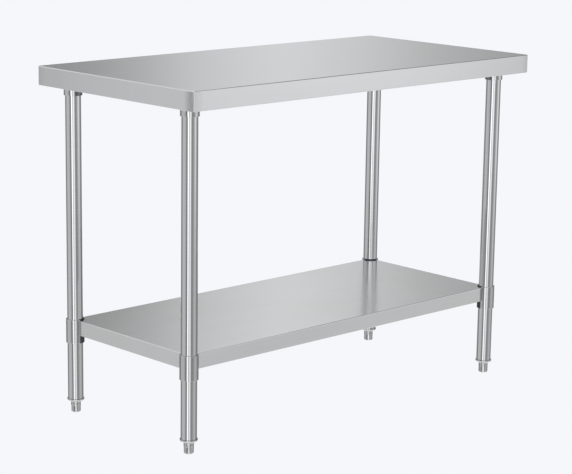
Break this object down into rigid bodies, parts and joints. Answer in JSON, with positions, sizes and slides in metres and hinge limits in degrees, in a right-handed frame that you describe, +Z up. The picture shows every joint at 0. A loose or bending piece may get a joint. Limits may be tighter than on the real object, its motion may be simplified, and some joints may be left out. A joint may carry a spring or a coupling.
{
  "type": "stainless work table",
  "caption": "Rectangular stainless work table with turned-down edges, round tube legs, a height-adjustable undershelf clamped to the legs, and screw-adjusted bullet feet.",
  "frame": {"origin": "on the floor under the middle of the worktop, with the feet screwed all the way in", "axes": "+X along the worktop's long side, +Y from the front to the back, +Z up"},
  "size_m": [1.2192, 0.6096, 0.9144],
  "materials": {
    "stainless_sheet": "satin, brushed along the length",
    "stainless_tube": "polished tube with a fine lengthwise grain",
    "galvanised_steel": "galvanised, faint spangle",
    "plated_foot_metal": "plated, smooth",
    "zinc_fastener": "zinc plated",
    "dark_cast_metal": "dark casting, matte"
  },
  "bodies": {
    "table_frame": {"worktop": "stainless_sheet", "cross_channel_left": "galvanised_steel", "cross_channel_right": "galvanised_steel", "centre_channel": "galvanised_steel", "weld_stud_cross_left_front": "zinc_fastener", "weld_stud_cross_left_back": "zinc_fastener", "weld_stud_cross_right_front": "zinc_fastener", "weld_stud_cross_right_back": "zinc_fastener", "weld_stud_centre_left": "zinc_fastener", "weld_stud_centre_right": "zinc_fastener", "nut_cross_left_front": "zinc_fastener", "nut_cross_left_back": "zinc_fastener", "nut_cross_right_front": "zinc_fastener", "nut_cross_right_back": "zinc_fastener", "nut_centre_left": "zinc_fastener", "nut_centre_right": "zinc_fastener", "leg_socket_front_left": "galvanised_steel", "leg_socket_front_right": "galvanised_steel", "leg_socket_back_right": "galvanised_steel", "leg_socket_back_left": "galvanised_steel", "leg_front_left": "stainless_tube", "leg_front_right": "stainless_tube", "leg_back_right": "stainless_tube", "leg_back_left": "stainless_tube", "foot_insert_front_left": "plated_foot_metal", "foot_insert_front_right": "plated_foot_metal", "foot_insert_back_right": "plated_foot_metal", "foot_insert_back_left": "plated_foot_metal"},
    "undershelf": {"undershelf": "stainless_sheet", "undershelf_channel": "galvanised_steel", "shelf_collar_front_left": "stainless_tube", "shelf_collar_front_right": "stainless_tube", "shelf_collar_back_right": "stainless_tube", "shelf_collar_back_left": "stainless_tube", "shelf_clamp_front_left": "dark_cast_metal", "shelf_clamp_front_right": "dark_cast_metal", "shelf_clamp_back_right": "dark_cast_metal", "shelf_clamp_back_left": "dark_cast_metal"},
    "foot_stud_front_left": {"foot_stud_front_left": "zinc_fastener"},
    "foot_stud_front_right": {"foot_stud_front_right": "zinc_fastener"},
    "foot_stud_back_right": {"foot_stud_back_right": "zinc_fastener"},
    "foot_stud_back_left": {"foot_stud_back_left": "zinc_fastener"},
    "foot_front_left": {"foot_front_left": "plated_foot_metal"},
    "foot_front_right": {"foot_front_right": "plated_foot_metal"},
    "foot_back_right": {"foot_back_right": "plated_foot_metal"},
    "foot_back_left": {"foot_back_left": "plated_foot_metal"},
    "socket_screw_front_left": {"socket_screw_front_left": "zinc_fastener"},
    "socket_screw_front_right": {"socket_screw_front_right": "zinc_fastener"},
    "socket_screw_back_right": {"socket_screw_back_right": "zinc_fastener"},
    "socket_screw_back_left": {"socket_screw_back_left": "zinc_fastener"},
    "shelf_screw_front_left": {"shelf_screw_front_left": "zinc_fastener"},
    "shelf_screw_front_right": {"shelf_screw_front_right": "zinc_fastener"},
    "shelf_screw_back_right": {"shelf_screw_back_right": "zinc_fastener"},
    "shelf_screw_back_left": {"shelf_screw_back_left": "zinc_fastener"}
  },
  "joints": [
    {"name": "undershelf_height", "type": "slide", "parent": "table_frame", "child": "undershelf", "axis": [0, 0, 1], "range_m": [-0.15, 0.585]},
    {"name": "foot_front_left_travel", "type": "slide", "parent": "table_frame", "child": "foot_stud_front_left", "axis": [0, 0, 1], "range_m": [-0.025, 0]},
    {"name": "foot_front_right_travel", "type": "slide", "parent": "table_frame", "child": "foot_stud_front_right", "axis": [0, 0, 1], "range_m": [-0.025, 0]},
    {"name": "foot_back_right_travel", "type": "slide", "parent": "table_frame", "child": "foot_stud_back_right", "axis": [0, 0, 1], "range_m": [-0.025, 0]},
    {"name": "foot_back_left_travel", "type": "slide", "parent": "table_frame", "child": "foot_stud_back_left", "axis": [0, 0, 1], "range_m": [-0.025, 0]},
    {"name": "foot_front_left_turn", "type": "hinge", "parent": "foot_stud_front_left", "child": "foot_front_left", "pos_m": [-0.5543, -0.229, 0], "axis": [0, 0, 1], "range_deg": [-4500, 0]},
    {"name": "foot_front_right_turn", "type": "hinge", "parent": "foot_stud_front_right", "child": "foot_front_right", "pos_m": [0.5543, -0.229, 0], "axis": [0, 0, 1], "range_deg": [-4500, 0]},
    {"name": "foot_back_right_turn", "type": "hinge", "parent": "foot_stud_back_right", "child": "foot_back_right", "pos_m": [0.5543, 0.229, 0], "axis": [0, 0, 1], "range_deg": [-4500, 0]},
    {"name": "foot_back_left_turn", "type": "hinge", "parent": "foot_stud_back_left", "child": "foot_back_left", "pos_m": [-0.5543, 0.229, 0], "axis": [0, 0, 1], "range_deg": [-4500, 0]},
    {"name": "socket_screw_front_left_out", "type": "slide", "parent": "table_frame", "child": "socket_screw_front_left", "axis": [1, 0, 0], "range_m": [0, 0.004]},
    {"name": "socket_screw_front_right_out", "type": "slide", "parent": "table_frame", "child": "socket_screw_front_right", "axis": [-1, 0, 0], "range_m": [0, 0.004]},
    {"name": "socket_screw_back_right_out", "type": "slide", "parent": "table_frame", "child": "socket_screw_back_right", "axis": [-1, 0, 0], "range_m": [0, 0.004]},
    {"name": "socket_screw_back_left_out", "type": "slide", "parent": "table_frame", "child": "socket_screw_back_left", "axis": [1, 0, 0], "range_m": [0, 0.004]},
    {"name": "shelf_screw_front_left_out", "type": "slide", "parent": "undershelf", "child": "shelf_screw_front_left", "axis": [0.7071, 0.7071, 0], "range_m": [0, 0.004]},
    {"name": "shelf_screw_front_right_out", "type": "slide", "parent": "undershelf", "child": "shelf_screw_front_right", "axis": [-0.7071, 0.7071, 0], "range_m": [0, 0.004]},
    {"name": "shelf_screw_back_right_out", "type": "slide", "parent": "undershelf", "child": "shelf_screw_back_right", "axis": [-0.7071, -0.7071, 0], "range_m": [0, 0.004]},
    {"name": "shelf_screw_back_left_out", "type": "slide", "parent": "undershelf", "child": "shelf_screw_back_left", "axis": [0.7071, -0.7071, 0], "range_m": [0, 0.004]}
  ],
  "couplings": [
    {"joint": "foot_front_left_turn", "follows": "foot_front_left_travel", "rad_per_m": 3141.6},
    {"joint": "foot_front_right_turn", "follows": "foot_front_right_travel", "rad_per_m": 3141.6},
    {"joint": "foot_back_right_turn", "follows": "foot_back_right_travel", "rad_per_m": 3141.6},
    {"joint": "foot_back_left_turn", "follows": "foot_back_left_travel", "rad_per_m": 3141.6}
  ]
}
